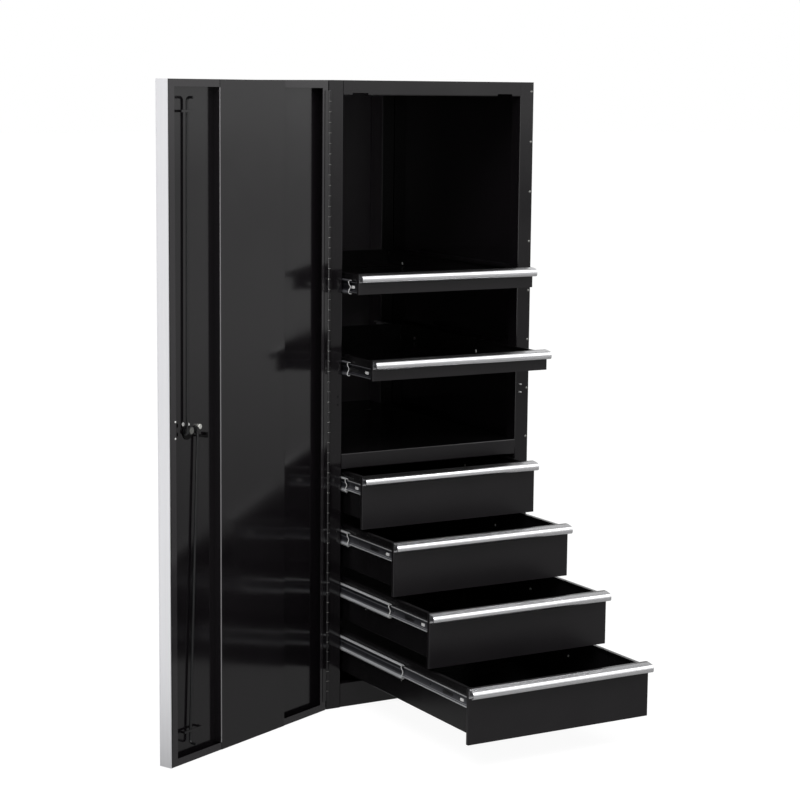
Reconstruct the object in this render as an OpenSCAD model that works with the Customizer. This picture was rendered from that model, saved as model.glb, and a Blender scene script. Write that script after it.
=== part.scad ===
// Tall steel tool cabinet with a full-height side-hinged door, two pull-out trays
// above a fixed shelf and four deep drawers below it, all on ball-bearing slides.
// Shown with its door open and its trays and drawers pulled out by different lengths.
// Millimetres. Z is up, the front faces -Y, and the origin is the middle of the base.

/* [Cabinet] */
// Width of the cabinet
cabinet_w = 585; // [450:1:900]
// Depth of the cabinet, front face to back
cabinet_d = 775; // [765:1:1000]
// Height of the cabinet
cabinet_h = 1550; // [1300:1:1900]
// Thickness of the casing sheet
sheet_t = 1.2; // [0.8:0.1:2]
// Thickness of the folded front frame and of the base pan
frame_t = 1.5; // [1:0.1:2.5]
// Outer radius of the folded edges
bend_r = 2.6; // [2.6:0.1:4]
// Width of each front post
post_w = 40; // [30:1:60]
// Depth of each front post, back into the cabinet
post_depth = 40; // [38:1:60]
// Width of the lip folded behind a post
post_lip = 16; // [8:1:22]
// Height of the rail above the door opening
top_rail_h = 36; // [25:1:70]
// Height of the rail between the upper compartment and the drawers
mid_rail_h = 38.5; // [25:0.5:70]
// Height of the rail below the drawers
toe_rail_h = 62.5; // [57:0.5:100]
// Depth of the lips folded back from the rails
rail_depth = 17; // [10:1:18]
// Width of the joining flanges inside the casing
flange_w = 15; // [13:1:20]
// Depth of the uprights in the rear corners
upright_depth = 65; // [50:1:90]
// Height of the flanges folded down from the shelf
shelf_flange = 20; // [10:1:40]
// Distance between rivets along the right post
rivet_pitch = 125.5; // [60:0.5:200]
// Distance from the cabinet's top to the first rivet
rivet_first = 23.5; // [10:0.5:40]
// Radius of a rivet's head
rivet_r = 3.2; // [2:0.1:4]

/* [Trays and drawers] */
// Height of a drawer's front
drawer_h = 130.5; // [120:0.5:150]
// Height of a tray's front
tray_h = 50; // [48:0.5:70]
// Gap between one drawer front and the next
drawer_gap = 3.5; // [3:0.5:10]
// Gap between the lowest front and the rail below it
foot_gap = 6; // [3:0.5:15]
// Gap between the highest drawer front and the rail above it
head_gap = 3; // [2:0.5:10]
// Gap beside a front, between it and the post
side_gap = 3.5; // [2:0.5:6]
// Height of the lower tray's front above the middle rail
lower_tray_up = 197.5; // [40:0.5:300]
// Height of the upper tray's front above that of the lower tray
tray_pitch = 200.5; // [90:0.5:300]
// How far a closed front stands back from the cabinet's face
front_recess = 20; // [19:0.5:22]
// Depth of the folded front panel
front_t = 10; // [8:0.5:12]
// Width of the lip folded in behind a front panel
front_lip = 14; // [13.5:0.5:18]
// Length of the tray and drawer boxes
box_len = 705; // [690:1:715]
// Thickness of the box sheet
box_t = 1; // [0.8:0.1:1.5]
// Height of the drawer box's floor above the bottom of its front
drawer_floor_up = 21; // [10:0.5:30]
// Height of the tray box's floor above the bottom of its front
tray_floor_up = 2; // [1:0.5:4]
// Distance of the box's rim below the top of its front
rim_drop = 4; // [2:0.5:8]
// Width of the hem folded in along the rim of a drawer box
drawer_hem = 10; // [7:0.5:14]
// Width of the hem folded in along the rim of a tray box
tray_hem = 7; // [5:0.5:10]
// Depth of the edge turned down from the hem
hem_turn = 4; // [3:0.5:8]

/* [Pulls] */
// How far a pull stands out from the front
pull_depth = 20.9; // [18.5:0.1:22]
// Height of a pull
pull_h = 21.4; // [21:0.1:30]
// Wall thickness of the extruded pull
pull_t = 2; // [1.5:0.1:2.5]
// Outer radius of the pull's front edge
pull_r = 9; // [6:0.1:9.2]
// Outer radius of the pull's lower edge
pull_low_r = 6.5; // [3:0.1:7]
// Slope of the pull's top face in degrees
pull_slope = 10.8; // [4:0.1:13]

/* [Slides] */
// Height of the cabinet member
slide_h = 45.7; // [44:0.1:52]
// Height of the intermediate member
mid_member_h = 35; // [34:0.1:36]
// Height of the drawer member
drawer_member_h = 25; // [23:0.1:25.5]
// Thickness of the closed slide
slide_t = 12.7; // [12.7:0.1:14]
// Length of the cabinet member
slide_len = 700; // [660:1:700]
// Sheet thickness of the members
member_t = 1.2; // [1:0.1:1.3]
// Radius of the rolled edges of the members
roll_r = 3; // [2:0.1:3.2]
// Distance of the slide's centre line below the top of its front
slide_drop = 35; // [33:0.5:40]
// Clearance between parts that slide past each other
slide_clear = 0.3; // [0.2:0.05:0.4]
// Distance between the balls in a cage
ball_pitch = 90; // [30:1:95]
// Distance between the holes along a member
hole_pitch = 128; // [64:1:140]

/* [Positions shown] */
// Angle that the door stands open
door_open = 155; // [90:1:180]
// How far the upper tray's front stands out of the cabinet
upper_tray_out = 75.5; // [-20:0.5:600]
// How far the lower tray's front stands out of the cabinet
lower_tray_out = 147; // [-20:0.5:600]
// How far the first drawer's front stands out of the cabinet
drawer_1_out = 100; // [-20:0.5:600]
// How far the second drawer's front stands out of the cabinet
drawer_2_out = 255.5; // [-20:0.5:600]
// How far the third drawer's front stands out of the cabinet
drawer_3_out = 425; // [-20:0.5:600]
// How far the fourth drawer's front stands out of the cabinet
drawer_4_out = 602; // [-20:0.5:620]
// Travel of the upper tray's intermediate members
upper_tray_mid_out = 62; // [0:0.5:340]
// Travel of the lower tray's intermediate members
lower_tray_mid_out = 58; // [0:0.5:340]
// Travel of the first drawer's intermediate members
drawer_1_mid_out = 50; // [0:0.5:340]
// Travel of the second drawer's intermediate members
drawer_2_mid_out = 62; // [0:0.5:340]
// Travel of the third drawer's intermediate members
drawer_3_mid_out = 272; // [0:0.5:340]
// Travel of the fourth drawer's intermediate members
drawer_4_mid_out = 335; // [0:0.5:340]

/* [Door] */
// Depth of the folded door shell
door_depth = 18.5; // [17.5:0.1:26]
// Gap between the door and the floor, and below the cabinet's top
door_clear = 2; // [1:0.5:5]
// Gap between the door's outer edge and the cabinet's side
door_short = 1.7; // [0.5:0.1:4]
// Width of the door's rim on the hinge side, from the hinge pin
hinge_rim = 27; // [20:0.5:40]
// Width of the door's rim on the free side
free_rim = 23; // [20:0.5:26]
// Width of the door's rim at the top and the bottom
end_rim = 17; // [10:0.5:30]
// How far the stiffener sits off the middle of the door, towards the hinge
stiffener_off = 2.15; // [-20:0.05:20]
// Width of the door's stiffener
stiffener_w = 237; // [60:1:245]
// Width of the stiffener's feet
stiffener_foot = 14; // [8:1:25]
// Outer radius of the stiffener's folds
stiffener_r = 2.5; // [2.1:0.1:4]
// Wall thickness of the extruded edge trim
trim_t = 2; // [1.5:0.1:2.5]
// Depth of the trim, which stands out of the door's outer face as a grip
trim_depth = 34; // [33:0.5:44]
// Width of the grip's outer flange
grip_w = 21; // [12:0.5:23]
// Width of the trim's leg on the door's outer face
trim_leg = 23; // [14:0.5:30]

/* [Hinge] */
// Radius of the hinge pin
pin_r = 2.5; // [2:0.1:3]
// Outer radius of a knuckle
knuckle_r = 4.4; // [4:0.1:4.6]
// Length of a knuckle
knuckle_len = 25; // [20:0.5:50]
// Thickness of the hinge leaves
leaf_t = 1.2; // [1:0.1:1.4]
// Width of a hinge leaf, from the pin
leaf_w = 19; // [14:0.5:20]
// Distance of the pin in front of the cabinet's face
pin_out = 5; // [5:0.1:6]
// Radial clearance of pins and plugs in their bores
bore_clear = 0.05; // [0.02:0.01:0.1]

/* [Lock] */
// Height of the lock above the floor
lock_z = 765; // [650:1:900]
// Distance of the lock from the door's free edge
lock_back = 89.3; // [83:0.1:113]
// Distance from the lock's centre to each rod's pivot
cam_arm = 18; // [16:0.5:22]
// Thickness of the cam plate
cam_t = 2.5; // [2:0.1:3]
// Radius of the lock's plug
plug_r = 6; // [5:0.1:7]
// Radius of the lock's housing
housing_r = 11; // [9:0.1:12]
// Radius of a locking rod
rod_r = 3; // [2.5:0.1:3.4]
// Distance of the rods from the door's free edge where the guides hold them
rod_back = 76.3; // [71:0.1:93]
// Distance of a rod's bent end from the door's rim
rod_end_gap = 23; // [22:0.5:40]
// How far a rod's bent end reaches past the door's rim
rod_reach = 9; // [6:0.5:12]
// Radius of the bend at the end of a rod
rod_bend = 7; // [5:0.5:9]
// Distance from a rod's end to its guide
guide_back = 30; // [25:0.5:60]
// Width of a guide
guide_w = 60; // [50:1:66]
// Height of the middle of the strike and the catch above the lock
strike_up = 10; // [0:0.5:20]
// Distance between the two prongs of the strike
prong_pitch = 20; // [16:0.5:24]
// How far the prongs stand out from the post's face
prong_out = 8; // [6:0.5:10]

/* [Hidden] */
$fn = 32;

// Colours of the finishes
black_coat = "#2b2a2c";
inner_coat = "#201f21";
bright_metal = "#d8d8da";
slide_metal = "#aeb0b2";
zinc_metal = "#c9c6b8";
black_zinc = "#1b1b1c";

// Heights of the front frame, from the floor up
drawer_count = 4;
drawer_pitch = drawer_h + drawer_gap;
mid_rail_z = toe_rail_h + foot_gap + drawer_count * drawer_pitch - drawer_gap + head_gap;
mid_rail_top = mid_rail_z + mid_rail_h;
lower_tray_z = mid_rail_top + lower_tray_up;
upper_tray_z = lower_tray_z + tray_pitch;
casing_top = cabinet_h - sheet_t;
top_rail_z = cabinet_h - top_rail_h;

// Bays from top to bottom: two trays, then the four drawers
bay_names = ["upper_tray", "lower_tray", "drawer_1", "drawer_2", "drawer_3", "drawer_4"];
bay_out = [upper_tray_out, lower_tray_out, drawer_1_out, drawer_2_out, drawer_3_out, drawer_4_out];
bay_mid_out = [upper_tray_mid_out, lower_tray_mid_out, drawer_1_mid_out,
               drawer_2_mid_out, drawer_3_mid_out, drawer_4_mid_out];
bays = [0 : len(bay_names) - 1];
function is_tray(i) = i < 2;
function front_h(i) = is_tray(i) ? tray_h : drawer_h;
function front_z(i) = i == 0 ? upper_tray_z : i == 1 ? lower_tray_z
    : toe_rail_h + foot_gap + (5 - i) * drawer_pitch;
function floor_up(i) = is_tray(i) ? tray_floor_up : drawer_floor_up;
function slide_z(i) = front_z(i) + front_h(i) - slide_drop;

// Widths across the opening
opening_w = cabinet_w - 2 * post_w;
front_w = opening_w - 2 * side_gap;
box_w = opening_w - 2 * slide_t;

// Places along the depth, from the cabinet's face
back_y = cabinet_d - sheet_t;
upright_y = back_y - sheet_t - upright_depth;
slide_y = front_recess + front_t + 1;
mid_inset = 3;
mid_len = slide_len - 2 * mid_inset;

// Slide sections: x from the cabinet side to the drawer side, y up from the centre line
ball_count = 4;
cage_len = ball_pitch * (ball_count - 1) + 16;
cage_end_gap = 12;
cage_w = 2.8;
cage_nose = 2.5;
cage_t = 0.8;
cabinet_reach = 10;
mid_x = member_t + 2 * slide_clear;
mid_back_reach = 4.6;
mid_web_x = mid_x + mid_back_reach - member_t;
mid_front_reach = slide_t - 1.8 - mid_web_x;
mid_roll_r = 2.2;
cabinet_lip = 3.8;
mid_back_lip = 6;
mid_front_lip = 2;
mid_notch_r = mid_member_h / 2 - mid_back_lip;
outer_race = slide_h / 2 - member_t;
inner_race = mid_member_h / 2 - member_t;
outer_ball_x = mid_web_x + member_t / 2;
outer_ball_y = (outer_race + mid_member_h / 2) / 2;
outer_ball_r = (outer_race - mid_member_h / 2) / 2 - slide_clear;
inner_ball_y = (inner_race + drawer_member_h / 2) / 2;
inner_ball_r = (inner_race - drawer_member_h / 2) / 2 - slide_clear;
cage_plate_t = max(0.5, inner_ball_r + slide_clear - cage_w / 2);
inner_ball_x = mid_web_x + member_t + cage_plate_t + cage_w / 2;
drawer_member_x = mid_web_x + member_t + cage_plate_t + 2 * slide_clear;
box_past_slide = 5;
drawer_member_len = box_len - box_past_slide;

// Door, measured from the hinge pin: s along it, depth out of it, z up
door_s0 = knuckle_r + 0.6;
door_edge = cabinet_w - door_short;
shell_edge = door_edge - trim_t;
door_top = cabinet_h - door_clear;
skin_depth = door_depth - sheet_t;
stiffener_s = (door_edge - stiffener_w) / 2 - stiffener_off;
knuckle_gap = 0.4;
leaf_relief = knuckle_r + 0.4;
knuckle_count = 2 * floor((door_top - door_clear) / (2 * knuckle_len));
hinge_z0 = (cabinet_h - knuckle_count * knuckle_len) / 2;

// Lock, measured like the door
lock_s = door_edge - lock_back;
rod_s = door_edge - rod_back;
rod_clear = 0.5;
rivet_head_t = 1.4;
rod_depth = skin_depth - rivet_head_t - 0.4 - cam_t - rod_clear - rod_r;
cam_front = rod_depth + rod_r + rod_clear;
cam_back = cam_front + cam_t;
eye_r = 7;
eye_t = 3;
eye_depth = cam_front - rod_clear + 0.1;
rivet_shank = 2.5;
rivet_head = 4.5;
rivet_clear = 0.3;
rod_top = door_top - end_rim - rod_end_gap;
rod_bottom = door_clear + end_rim + rod_end_gap;
guide_bar = 1.5;
guide_h = 5;
guide_inside = rod_depth - rod_r - rod_clear;
strike_s = door_edge - free_rim - 4;
strike_z = lock_z + strike_up;
prong_w = 3.4;
prong_t = 2.4;

// Puts children measured from the cabinet's left front corner into the part's frame
module in_cabinet() {
    translate([-cabinet_w / 2, -cabinet_d / 2, 0]) children();
}

// Puts children measured from the hinge pin, with the door closed, on the open door
module on_door() {
    in_cabinet() translate([0, -pin_out, 0]) rotate([0, 0, -door_open]) children();
}

// Flat rectangle with round corners
module round_rect(size, r) {
    translate([r, 0]) square([size.x - 2 * r, size.y]);
    translate([0, r]) square([size.x, size.y - 2 * r]);
    for (x = [r, size.x - r], y = [r, size.y - r]) translate([x, y]) circle(r);
}

// Outline of a folded channel: its web lies along y at x = 0, its flanges reach out along x
module channel_2d(web, flange, t, r) {
    difference() {
        round_rect([flange + 2 * r, web], r);
        translate([t, t]) round_rect([flange + 2 * r, web - 2 * t], r - t);
        translate([flange, -1]) square([3 * r, web + 2]);
    }
}

// Outline of a rolled slide member, centred on y = 0 and open on its far side between two lips
module lipped_2d(reach, h, lip, r) {
    difference() {
        translate([0, -h / 2]) round_rect([reach, h], r);
        translate([member_t, member_t - h / 2])
            round_rect([reach - 2 * member_t, h - 2 * member_t], r - member_t);
        translate([reach / 2, lip - h / 2]) square([reach, h - 2 * lip]);
    }
}

// Extrudes an outline of x and z along y
module along_y(y0, length) {
    translate([0, y0 + length, 0]) rotate([90, 0, 0]) linear_extrude(length) children();
}

// Extrudes an outline of y and z along x
module along_x(x0, length) {
    translate([x0, 0, 0]) rotate([90, 0, 90]) linear_extrude(length) children();
}

// Keeps a left-hand piece or mirrors it to the right-hand side of the cabinet
module on_side(right) {
    if (right) translate([cabinet_w, 0, 0]) mirror([1, 0, 0]) children();
    else children();
}

// Casing
module side_panel(right) {
    color(black_coat) in_cabinet() on_side(right) union() {
        linear_extrude(casing_top)
            translate([0, frame_t]) channel_2d(back_y - frame_t, flange_w, sheet_t, bend_r);
        translate([0, post_depth, casing_top - sheet_t])
            cube([flange_w, upright_y - post_depth, sheet_t]);
    }
}

module back_panel() {
    color(black_coat) in_cabinet() translate([0, back_y, 0])
        along_y(0, sheet_t) round_rect([cabinet_w, casing_top], bend_r);
}

module top_panel() {
    color(black_coat) in_cabinet() translate([0, 0, casing_top])
        linear_extrude(sheet_t) round_rect([cabinet_w, cabinet_d], bend_r);
}

module base_pan() {
    pan_y = frame_t + sheet_t;
    pan_d = back_y - sheet_t - pan_y;
    color(black_coat) in_cabinet() union() {
        translate([sheet_t, pan_y, 0]) cube([cabinet_w - 2 * sheet_t, pan_d, frame_t]);
        for (right = [false, true]) on_side(right)
            translate([sheet_t, post_depth + 5, 0])
                cube([frame_t, upright_y - post_depth - 10, flange_w]);
    }
}

module front_post(right) {
    opened = post_w - post_lip;
    color(black_coat) in_cabinet() on_side(right) difference() {
        union() {
            translate([0, 0, frame_t]) linear_extrude(casing_top - frame_t) difference() {
                round_rect([post_w, post_depth], bend_r);
                translate([frame_t, frame_t])
                    round_rect([post_w - 2 * frame_t, post_depth - 2 * frame_t], bend_r - frame_t);
                translate([-1, frame_t]) square([opened + 1, post_depth]);
            }
            linear_extrude(frame_t) intersection() {
                round_rect([post_w, post_depth], bend_r);
                square([post_w, frame_t]);
            }
        }
        prong_slots();
    }
}

// A post's two slots for a strike's prongs
module prong_slots() {
    slot = [prong_w + 0.6, 3 * frame_t, prong_t + 0.6];
    for (z = [-1, 1])
        translate([cabinet_w - strike_s - slot.x / 2, -frame_t, strike_z + z * prong_pitch / 2 - slot.z / 2])
            cube(slot);
}

// Upright in each rear corner, which the slides are screwed to
module rear_uprights() {
    color(inner_coat) in_cabinet() for (right = [false, true]) on_side(right)
        translate([post_w, upright_y, frame_t]) mirror([1, 0, 0])
            linear_extrude(casing_top - sheet_t - frame_t)
                channel_2d(upright_depth, post_w - bend_r, frame_t, bend_r);
}

// Front frame rails, between the posts
module top_rail() {
    notch = [43, rail_depth + 2, 7];
    color(black_coat) in_cabinet() difference() {
        along_x(post_w, opening_w) translate([0, top_rail_z]) difference() {
            round_rect([rail_depth, top_rail_h + bend_r], bend_r);
            translate([frame_t, frame_t]) round_rect([rail_depth, top_rail_h + bend_r], bend_r - frame_t);
            translate([-1, casing_top - top_rail_z]) square([rail_depth + 2, top_rail_h]);
        }
        for (x = [rod_s - 30, cabinet_w - rod_s + 30 - notch.x])
            translate([x, -1, top_rail_z - 1]) cube(notch);
    }
}

module middle_rail() {
    color(black_coat) in_cabinet() along_x(post_w, opening_w)
        translate([0, mid_rail_z]) difference() {
            channel_2d_up(mid_rail_h, rail_depth);
            translate([frame_t, mid_rail_h - sheet_t]) square([rail_depth, sheet_t + 1]);
        }
}

// Rail section: face on y = 0 with a lip folded back at each edge, the top one under the shelf
module channel_2d_up(h, depth) {
    difference() {
        round_rect([depth + 2 * bend_r, h], bend_r);
        translate([frame_t, frame_t])
            round_rect([depth + 2 * bend_r, h - 2 * frame_t - sheet_t], bend_r - frame_t);
        translate([depth, -1]) square([3 * bend_r, h + 2]);
    }
}

module toe_rail() {
    slot = [36, 34];
    color(black_coat) in_cabinet() difference() {
        along_x(post_w, opening_w) intersection() {
            channel_2d(toe_rail_h, rail_depth, frame_t, bend_r);
            union() {
                square([frame_t + 0.01, toe_rail_h]);
                translate([0, toe_rail_h / 2]) square([rail_depth, toe_rail_h / 2]);
            }
        }
        translate([rod_s - slot.x / 2, -1, rod_bottom - cam_arm - rod_r - 3])
            cube([slot.x, 3 * frame_t, slot.y]);
    }
}

module fixed_shelf() {
    shelf_z = mid_rail_top - sheet_t;
    color(inner_coat) in_cabinet() union() {
        translate([post_w, frame_t, shelf_z]) cube([opening_w, back_y - sheet_t - frame_t, sheet_t]);
        for (x = [post_w, post_w + opening_w - sheet_t])
            translate([x, rail_depth + 2, mid_rail_top - shelf_flange])
                cube([sheet_t, back_y - rail_depth - 2 - 2 * sheet_t, shelf_flange]);
    }
}

// Domed rivets that hold the right post to the side panel
module post_rivets() {
    count = 1 + floor((cabinet_h - 2 * rivet_first + 8) / rivet_pitch);
    color(zinc_metal) in_cabinet()
        for (i = [0 : count - 1])
            translate([cabinet_w - rivet_r - 3.3, 0, cabinet_h - rivet_first - i * rivet_pitch])
                rotate([90, 0, 0]) intersection() {
                    translate([0, 0, -rivet_r * 0.9]) sphere(rivet_r * 1.35);
                    cylinder(r = rivet_r, h = rivet_r);
                }
}

// Strike behind the right post's face, with two prongs through it that enter the door's catch
module strike_plate() {
    plate = [13, frame_t, prong_pitch + 10];
    prong = [prong_w, prong_out + frame_t + 0.5, prong_t];
    color(zinc_metal) in_cabinet() translate([strike_s, frame_t, strike_z]) union() {
        translate([-plate.x / 2, 0, -plate.z / 2]) cube(plate);
        for (z = [-1, 1])
            translate([-prong.x / 2, 0.5 - prong.y, z * prong_pitch / 2 - prong.z / 2]) cube(prong);
    }
}

// Continuous hinge
module knuckles(first) {
    for (i = [first : 2 : knuckle_count - 1])
        translate([0, 0, hinge_z0 + i * knuckle_len + knuckle_gap / 2])
            cylinder(r = knuckle_r, h = knuckle_len - knuckle_gap);
}

module knuckle_reliefs(first) {
    for (i = [first : 2 : knuckle_count - 1])
        translate([0, 0, hinge_z0 + i * knuckle_len - knuckle_gap / 2])
            cylinder(r = leaf_relief, h = knuckle_len + knuckle_gap);
}

module hinge_leaf(first, plate_y) {
    leaf_h = knuckle_count * knuckle_len;
    difference() {
        union() {
            difference() {
                translate([0, plate_y, hinge_z0]) cube([leaf_w, leaf_t, leaf_h]);
                knuckle_reliefs(1 - first);
            }
            knuckles(first);
        }
        translate([0, 0, hinge_z0 - 1]) cylinder(r = pin_r + bore_clear, h = leaf_h + 2);
    }
}

module cabinet_hinge_leaf() {
    color(black_coat) in_cabinet() translate([0, -pin_out, 0])
        hinge_leaf(0, pin_out - leaf_t);
}

module door_hinge_leaf() {
    color(black_coat) on_door() hinge_leaf(1, 0);
}

module hinge_pin() {
    color(slide_metal) in_cabinet()
        translate([0, -pin_out, hinge_z0]) cylinder(r = pin_r, h = knuckle_count * knuckle_len);
}

// Slides
module cabinet_member() {
    along_y(slide_y, slide_len) lipped_2d(cabinet_reach, slide_h, cabinet_lip, roll_r);
}

// Row of round holes across the web of a member of a given length
module web_holes(x, r, length) {
    for (i = [0 : floor((length - 2 * hole_pitch / 3) / hole_pitch)])
        translate([x - 1, slide_y + hole_pitch / 3 + i * hole_pitch, 0])
            rotate([0, 90, 0]) cylinder(r = r, h = member_t + 2);
}

// Intermediate member: two lipped channels back to back on one web
module mid_member() {
    difference() {
        union() {
            along_y(slide_y + mid_inset, mid_len) translate([mid_web_x + member_t, 0]) mirror([1, 0])
                lipped_2d(mid_back_reach, mid_member_h, mid_back_lip, mid_roll_r);
            along_y(slide_y + mid_inset, mid_len) translate([mid_web_x, 0])
                lipped_2d(mid_front_reach, mid_member_h, mid_front_lip, mid_roll_r);
        }
        web_holes(mid_web_x, 5, slide_len);
        translate([mid_x - 1, slide_y + mid_inset - 3, 0])
            rotate([0, 90, 0]) cylinder(r = mid_notch_r, h = slide_t);
    }
}

module drawer_member() {
    depth = slide_t - drawer_member_x;
    difference() {
        along_y(slide_y, drawer_member_len) translate([slide_t, -drawer_member_h / 2]) mirror([1, 0])
            channel_2d(drawer_member_h, depth, member_t, 2);
        web_holes(slide_t - member_t, 2.2, drawer_member_len);
    }
}

// Row of balls in a strip cage, from its front end
module ball_cage(x, z, y, r) {
    translate([x - cage_w / 2, y, z - cage_t / 2]) cube([cage_w, cage_len, cage_t]);
    for (i = [0 : ball_count - 1])
        translate([x, y + 8 + i * ball_pitch, z]) sphere(r);
}

// Plate that joins the two inner cages, its notched nose reaching out of the member's front end
module cage_plate(y) {
    h = 2 * inner_ball_y + cage_t;
    translate([mid_web_x + member_t, y, 0]) difference() {
        translate([0, 0, -h / 2]) cube([cage_plate_t, cage_len, h]);
        translate([-1, 0, 0]) rotate([0, 90, 0]) cylinder(r = mid_notch_r - 1, h = cage_plate_t + 2);
    }
}

// Intermediate member with its two outer cages at the back and its inner cage at the front
module mid_set() {
    outer_y = slide_y + mid_inset + mid_len - cage_len - cage_end_gap;
    inner_y = slide_y + mid_inset - cage_nose;
    mid_member();
    union() {
        cage_plate(inner_y);
        for (side = [-1, 1]) ball_cage(inner_ball_x, side * inner_ball_y, inner_y, inner_ball_r);
    }
    for (side = [-1, 1]) ball_cage(outer_ball_x, side * outer_ball_y, outer_y, outer_ball_r);
}

module cabinet_slides(right) {
    color(slide_metal) in_cabinet() on_side(right)
        for (i = bays) translate([post_w, 0, slide_z(i)]) cabinet_member();
}

module bay_mid_slides(i) {
    color(slide_metal) in_cabinet() for (right = [false, true]) on_side(right)
        translate([post_w, -bay_mid_out[i], slide_z(i)]) mid_set();
}

module bay_slides(i) {
    color(slide_metal) in_cabinet() for (right = [false, true]) on_side(right)
        translate([post_w, -bay_out[i] - front_recess, slide_z(i)]) drawer_member();
}

// Puts children measured from the lower left corner of a bay's front panel in place
module in_bay(i) {
    in_cabinet() translate([post_w + side_gap, -bay_out[i], front_z(i)]) children();
}

// Tray or drawer box: one channel for the floor and sides, then the two end walls
module bay_box(i) {
    h = front_h(i) - floor_up(i) - rim_drop;
    hem = is_tray(i) ? tray_hem : drawer_hem;
    fold = 2;
    color(black_coat) in_bay(i) translate([slide_t - side_gap, front_t, floor_up(i)]) union() {
        along_y(0, box_len) difference() {
            round_rect([box_w, h], fold);
            translate([box_t, box_t]) round_rect([box_w - 2 * box_t, h - 2 * box_t], fold - box_t);
            translate([hem, h - 2 * box_t]) square([box_w - 2 * hem, 3 * box_t]);
        }
        for (x = [hem - box_t, box_w - hem])
            translate([x, 0, h - hem_turn]) cube([box_t, box_len, hem_turn]);
        for (y = [0, box_len - box_t])
            translate([fold, y, box_t / 2]) cube([box_w - 2 * fold, box_t, h - box_t]);
        translate([fold, box_len - hem, h - box_t]) cube([box_w - 2 * fold, hem, box_t]);
        translate([hem, box_len - hem, h - hem_turn]) cube([box_w - 2 * hem, box_t, hem_turn]);
    }
}

// Front panel, folded all round with a lip behind
module bay_front(i) {
    h = front_h(i);
    t = sheet_t;
    color(black_coat) in_bay(i) difference() {
        linear_extrude(h) round_rect([front_w, front_t], 1.5);
        translate([t, t, t]) cube([front_w - 2 * t, front_t - 2 * t, h - 2 * t]);
        translate([front_lip, front_t / 2, front_lip])
            cube([front_w - 2 * front_lip, front_t, h - 2 * front_lip]);
    }
}

// Outline of the pull set in by t: x forward from the front panel, y up from its top edge
module pull_outline(t) {
    centre_x = pull_depth - pull_r;
    centre_y = -(pull_r + sin(pull_slope) * centre_x) / cos(pull_slope);
    r = pull_r - t;
    low = [pull_depth - pull_low_r, pull_low_r - pull_h];
    polygon([[t, -t * (1 + sin(pull_slope)) / cos(pull_slope)],
             [centre_x + r * sin(pull_slope), centre_y + r * cos(pull_slope)],
             [centre_x, centre_y], [pull_depth - t, centre_y],
             [pull_depth - t, low.y], [low.x, low.y], [low.x, t - pull_h], [t, t - pull_h]]);
    translate([centre_x, centre_y]) circle(r);
    translate(low) circle(pull_low_r - t);
}

module bay_pull(i) {
    mouth = pull_depth - pull_low_r - pull_t;
    lip = 1.2;
    color(bright_metal) in_bay(i) translate([0, 0, front_h(i)]) mirror([0, 1, 0]) union() {
        difference() {
            along_x(0, front_w) pull_outline(0);
            along_x(-1, front_w + 2) pull_outline(pull_t);
            translate([-1, pull_t, -pull_h - 1]) cube([front_w + 2, mouth, 2 * pull_t]);
        }
        translate([0, pull_t + mouth - lip, -pull_h]) cube([front_w, lip, pull_t]);
    }
}

// Door
module door_shell() {
    w = shell_edge - door_s0;
    h = door_top - door_clear;
    color(black_coat) on_door() difference() {
        translate([door_s0, -door_depth, door_clear]) linear_extrude(h) round_rect([w, door_depth], 2);
        translate([door_s0 + sheet_t, -skin_depth, door_clear + sheet_t])
            cube([w - 2 * sheet_t, door_depth - 2 * sheet_t, h - 2 * sheet_t]);
        translate([hinge_rim, -2 * sheet_t, door_clear + end_rim])
            cube([door_edge - free_rim - hinge_rim, 4 * sheet_t, h - 2 * end_rim]);
        translate([lock_s, -skin_depth + 1, lock_z]) rotate([90, 0, 0])
            cylinder(r = housing_r + bore_clear, h = sheet_t + 2);
    }
}

// Hat-shaped stiffener, its face over the rims and its feet on the door's skin
module door_stiffener() {
    h = door_top - door_clear;
    far = stiffener_s + stiffener_w - sheet_t;
    color(black_coat) on_door() union() {
        translate([0, 0, door_clear]) linear_extrude(h) intersection() {
            hat_outline();
            translate([stiffener_s, 0]) square([stiffener_w, sheet_t]);
        }
        translate([0, 0, door_clear + end_rim + 1]) linear_extrude(h - 2 * end_rim - 2) {
            hat_outline();
            for (s = [stiffener_s - stiffener_foot, far])
                translate([s, -skin_depth]) square([stiffener_foot + sheet_t, sheet_t]);
        }
    }
}

module hat_outline() {
    translate([stiffener_s, sheet_t]) rotate(-90)
        channel_2d(stiffener_w, skin_depth + sheet_t, sheet_t, stiffener_r);
}

// Extruded trim over the door's free edge: a leg on the outer face and a grip standing out of it
module door_edge_trim() {
    color(bright_metal) on_door() translate([0, 0, door_clear]) difference() {
        linear_extrude(door_top - door_clear) {
            translate([shell_edge, -trim_depth]) square([trim_t, trim_depth]);
            translate([door_edge - trim_leg, -door_depth - trim_t]) square([trim_leg, trim_t]);
            translate([door_edge - grip_w, -trim_depth]) square([grip_w, trim_t]);
            translate([door_edge - grip_w, trim_t / 2 - trim_depth + 0.4]) circle(trim_t / 2 + 0.4);
        }
        translate([door_edge - 0.5, -trim_depth + 2.6, -1]) cube([1, 0.8, door_top]);
    }
}

// Catch at the free rim's inner edge, with a slot for each prong of the strike
module door_catch() {
    h = prong_pitch + 26;
    body = [12, 10, h];
    slot = [prong_w + 2, body.y + 2, prong_t + 6];
    color(black_coat) on_door() translate([door_edge - free_rim - body.x, 0, strike_z - h / 2]) difference() {
        union() {
            translate([0, -body.y, 0]) cube([body.x - 0.2, body.y, h]);
            translate([0, -body.y, 0]) cube([body.x + 12, body.y - sheet_t, h]);
        }
        for (z = [-1, 1])
            translate([strike_s - door_edge + free_rim + body.x - slot.x / 2, -body.y - 1,
                       h / 2 + z * prong_pitch / 2 - slot.z / 2]) cube(slot);
    }
}

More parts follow.
